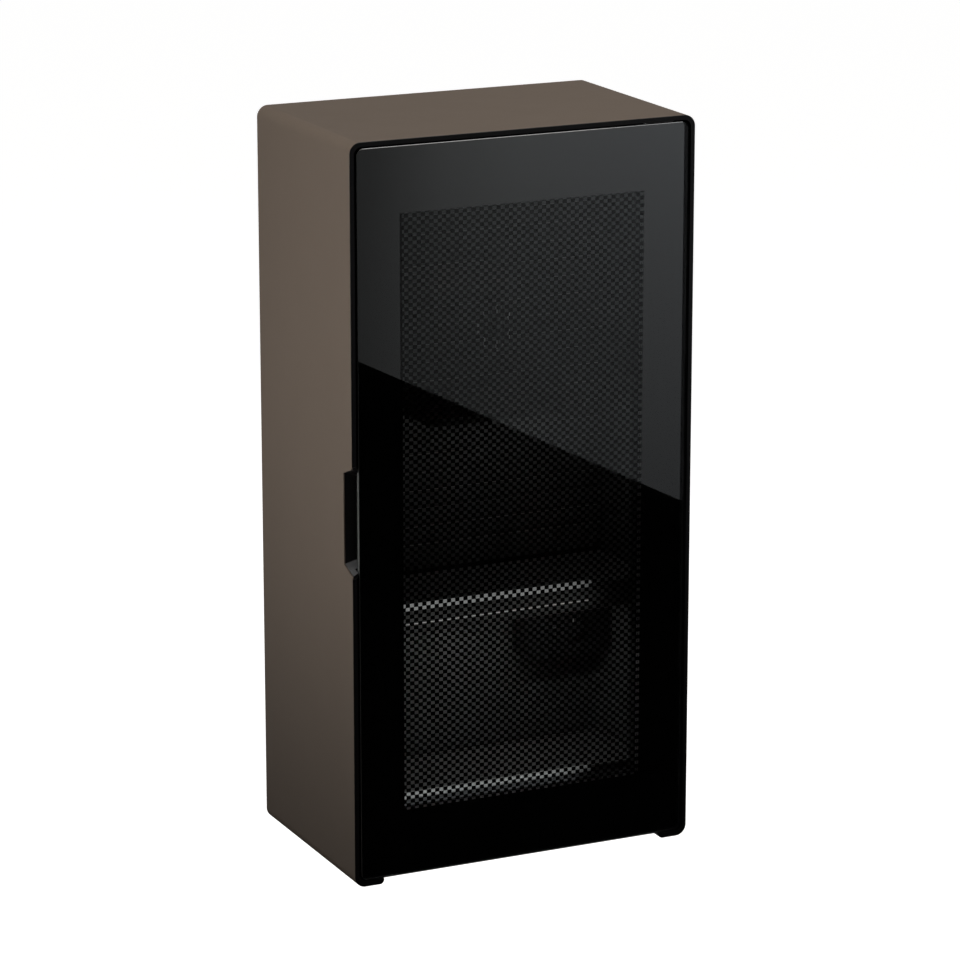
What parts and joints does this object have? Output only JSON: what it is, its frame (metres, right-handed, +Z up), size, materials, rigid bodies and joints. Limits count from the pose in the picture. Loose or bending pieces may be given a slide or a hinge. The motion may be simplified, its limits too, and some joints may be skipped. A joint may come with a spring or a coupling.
{
  "type": "wall-mounted minibar fridge",
  "caption": "Slim wall-hung minibar fridge: painted sleeve, flush dark glass door with a printed window, recessed side grip, lit shelves and a thermoelectric cooler.",
  "frame": {"origin": "centre of the wall plate's four bolt holes, on the wall's face", "axes": "+X to the right seen from the room, +Y from the room into the wall, +Z up; the glass door is at the -Y end"},
  "size_m": [0.4, 0.2616, 0.8096],
  "materials": {
    "painted_sleeve": "satin",
    "black_frame": "satin",
    "inner_plastic": "satin",
    "foam": "matte",
    "bay_sheet": "satin",
    "shelf_plastic": "satin",
    "frosted_bar": "satin",
    "circuit": "satin",
    "bright_trim": "polished",
    "dark_plastic": "matte",
    "aluminium": "satin",
    "module_ceramic": "matte",
    "brass": "satin",
    "rear_sheet": "matte",
    "screw_steel": "satin",
    "rubber": "matte",
    "zinc_steel": "satin",
    "door_glass": "gloss",
    "black_print": "gloss",
    "spacer_bar": "satin",
    "clear_pane": "gloss",
    "door_plastic": "satin",
    "gasket_rubber": "matte",
    "magnet": "matte"
  },
  "bodies": {
    "cabinet": {"casing": "painted_sleeve", "bezel": "black_frame", "grip_scoop": "black_frame", "liner": "inner_plastic", "foam_insulation": "foam", "foam_back_plate": "bay_sheet", "slotted_back_panel": "inner_plastic", "upper_shelf": "shelf_plastic", "middle_shelf": "shelf_plastic", "main_shelf": "shelf_plastic", "main_light_bar": "frosted_bar", "main_led_strip": "circuit", "main_shelf_trim": "bright_trim", "floor_tray": "shelf_plastic", "floor_light_bar": "frosted_bar", "floor_led_strip": "circuit", "thermostat_housing": "dark_plastic", "cold_fan_frame": "dark_plastic", "cold_sink": "aluminium", "cold_block": "aluminium", "peltier_module": "module_ceramic", "hot_sink": "aluminium", "hot_fan_frame": "dark_plastic", "power_supply": "bay_sheet", "control_board": "circuit", "board_standoffs": "brass", "rear_panel": "rear_sheet", "rear_panel_screws": "screw_steel", "cable_grommet": "rubber", "switch_frame": "dark_plastic", "wall_plate": "zinc_steel", "hang_rail": "zinc_steel", "rail_screws": "screw_steel", "wall_bumpers": "rubber", "hinge_plate_top": "zinc_steel", "hinge_plate_bottom": "zinc_steel", "hinge_pin_top": "screw_steel", "hinge_pin_bottom": "screw_steel", "thrust_washer": "dark_plastic", "hinge_plate_screws": "screw_steel", "strike_frame": "zinc_steel", "door_sensor": "dark_plastic", "fan_screws": "screw_steel", "sink_posts": "dark_plastic"},
    "door": {"outer_glass": "door_glass", "printed_border": "black_print", "glazing_spacer": "spacer_bar", "inner_pane": "clear_pane", "door_frame": "door_plastic", "gasket": "gasket_rubber", "gasket_magnets": "magnet", "hinge_block_top": "zinc_steel", "hinge_block_bottom": "zinc_steel", "block_screws": "screw_steel"},
    "cold_fan": {"cold_fan_rotor": "dark_plastic"},
    "hot_fan": {"hot_fan_rotor": "dark_plastic"},
    "thermostat_dial": {"thermostat_knob": "dark_plastic"},
    "mains_rocker": {"switch_rocker": "dark_plastic"}
  },
  "joints": [
    {"name": "door_hinge", "type": "hinge", "parent": "cabinet", "child": "door", "pos_m": [0.1722, -0.2517, -0.236], "axis": [0, 0, 1], "range_deg": [0, 115]},
    {"name": "cold_fan_spin", "type": "hinge", "parent": "cabinet", "child": "cold_fan", "pos_m": [0.04, -0.099, -0.08], "axis": [0, 1, 0], "continuous": true},
    {"name": "hot_fan_spin", "type": "hinge", "parent": "cabinet", "child": "hot_fan", "pos_m": [0.04, -0.03, -0.08], "axis": [0, 1, 0], "continuous": true},
    {"name": "thermostat_turn", "type": "hinge", "parent": "cabinet", "child": "thermostat_dial", "pos_m": [0.116, -0.141, -0.422], "axis": [0, 1, 0], "range_deg": [0, 270]},
    {"name": "mains_switch", "type": "hinge", "parent": "cabinet", "child": "mains_rocker", "pos_m": [0.13, -0.045, -0.637], "axis": [0, 1, 0], "range_deg": [-14, 0]}
  ]
}
